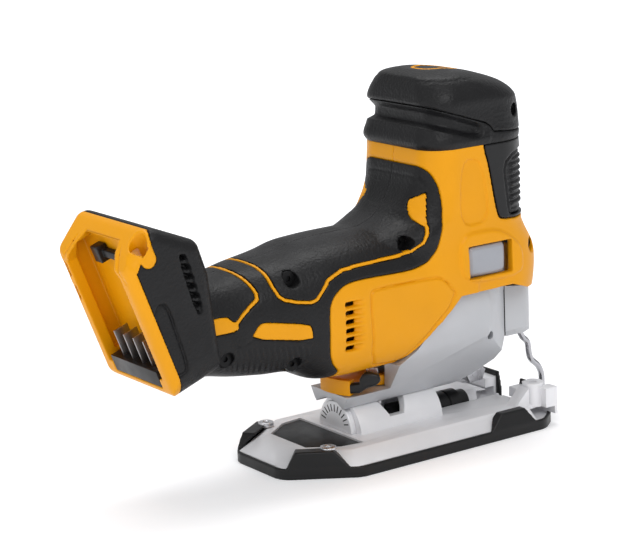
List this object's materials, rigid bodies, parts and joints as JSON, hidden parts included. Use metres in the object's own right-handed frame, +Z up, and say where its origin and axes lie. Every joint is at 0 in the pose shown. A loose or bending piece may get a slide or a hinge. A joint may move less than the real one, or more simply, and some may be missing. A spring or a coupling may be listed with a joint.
{
  "type": "cordless jigsaw",
  "caption": "Barrel-grip cordless jigsaw that drives an upright blade through a slotted tilting shoe, shown without battery or blade.",
  "frame": {"origin": "centre of the shoe on the sole plane", "axes": "+X in the cutting direction, +Y to the tool's left, +Z up from the sole"},
  "size_m": [0.2401, 0.078, 0.1702],
  "materials": {
    "yellow_plastic": "satin moulded plastic",
    "black_rubber": "fine grained soft overmould",
    "black_plastic": "moulded plastic",
    "cast_metal": "painted die casting",
    "light_cover": "painted satin",
    "steel": "ground and plated",
    "dark_steel": "phosphated",
    "chrome_wire": "bright plated",
    "bronze": "sintered",
    "copper": "enamelled windings",
    "board": "coated board",
    "lens": "clear",
    "grey_button": "satin"
  },
  "bodies": {
    "housing": {"housing_right": "yellow_plastic", "housing_left": "yellow_plastic", "grip_right": "black_rubber", "grip_left": "black_rubber", "head_cap": "black_rubber", "cap_screws": "dark_steel", "grip_ring": "black_rubber", "front_bezel": "black_plastic", "lever_pin": "steel", "foot_shell": "black_plastic", "battery_receptacle": "yellow_plastic", "terminal_block": "black_plastic", "terminal_blades": "steel", "latch_strip": "steel", "gearcase": "cast_metal", "front_gasket": "black_rubber", "front_cover": "light_cover", "finger_guard": "chrome_wire", "housing_screws": "dark_steel", "cover_screws": "steel", "led_lens": "lens", "motor_stator": "steel", "stator_windings": "copper", "motor_end_bell": "black_plastic", "motor_bearings": "steel", "gear_axle": "steel", "plunger_bushes": "bronze", "switch_module": "black_plastic", "control_board": "board", "clamp_barrel": "dark_steel", "clamp_bolt": "steel", "fork_pin": "steel"},
    "switch_slide": {"switch_bar": "black_plastic", "switch_button_right": "grey_button", "switch_button_left": "grey_button"},
    "release_lever": {"blade_lever": "black_rubber"},
    "dial": {"speed_dial": "black_plastic"},
    "orbit_selector": {"orbit_knob": "black_plastic"},
    "plunger": {"plunger_rod": "steel", "scotch_yoke": "steel", "blade_clamp": "dark_steel"},
    "fork": {"roller_fork": "steel", "roller_pin": "steel"},
    "roller": {"guide_roller": "steel"},
    "rotor": {"rotor_core": "steel", "motor_shaft": "steel", "motor_fan": "black_plastic", "pinion": "steel"},
    "crank": {"drive_gear": "steel", "crank_pin": "steel", "counterweight": "steel"},
    "shoe": {"shoe_plate": "cast_metal", "sole_cover": "black_plastic", "rear_insert": "black_plastic", "bevel_scale": "light_cover", "shoe_screws": "steel"},
    "lever": {"bevel_lever": "yellow_plastic", "lever_nut": "steel"}
  },
  "joints": [
    {"name": "bevel_tilt", "type": "hinge", "parent": "housing", "child": "shoe", "pos_m": [0, 0, 0.009], "axis": [1, 0, 0], "range_deg": [-45, 45]},
    {"name": "bevel_lever_swing", "type": "hinge", "parent": "housing", "child": "lever", "pos_m": [-0.006, 0, 0.031], "axis": [0, 0, 1], "range_deg": [0, 28]},
    {"name": "plunger_stroke", "type": "slide", "parent": "housing", "child": "plunger", "axis": [0, 0, 1], "range_m": [-0.026, 0]},
    {"name": "crank_spin", "type": "hinge", "parent": "housing", "child": "crank", "pos_m": [0.024, 0, 0.09405], "axis": [1, 0, 0], "continuous": true},
    {"name": "rotor_spin", "type": "hinge", "parent": "housing", "child": "rotor", "pos_m": [0, 0, 0.072], "axis": [1, 0, 0], "continuous": true},
    {"name": "fork_swing", "type": "hinge", "parent": "housing", "child": "fork", "pos_m": [0.042, 0, 0.046], "axis": [0, 1, 0], "range_deg": [-5, 0]},
    {"name": "roller_spin", "type": "hinge", "parent": "fork", "child": "roller", "pos_m": [0.046, 0, 0.023], "axis": [0, 1, 0], "continuous": true},
    {"name": "switch_travel", "type": "slide", "parent": "housing", "child": "switch_slide", "axis": [1, 0, 0], "range_m": [0, 0.003]},
    {"name": "release_lever_swing", "type": "hinge", "parent": "housing", "child": "release_lever", "pos_m": [0.0652, 0, 0.1286], "axis": [0, 1, 0], "range_deg": [-35, 0], "stiffness_Nm_per_rad": 0.08, "springref_deg": 5.73},
    {"name": "speed_dial_turn", "type": "hinge", "parent": "housing", "child": "dial", "pos_m": [-0.012, 0.028, 0.066], "axis": [0, 1, 0], "range_deg": [0, 240]},
    {"name": "orbit_turn", "type": "hinge", "parent": "housing", "child": "orbit_selector", "pos_m": [0.02, 0.03, 0.048], "axis": [0, 1, 0], "range_deg": [0, 90]}
  ],
  "couplings": [
    {"joint": "rotor_spin", "follows": "crank_spin", "ratio": -6}
  ]
}
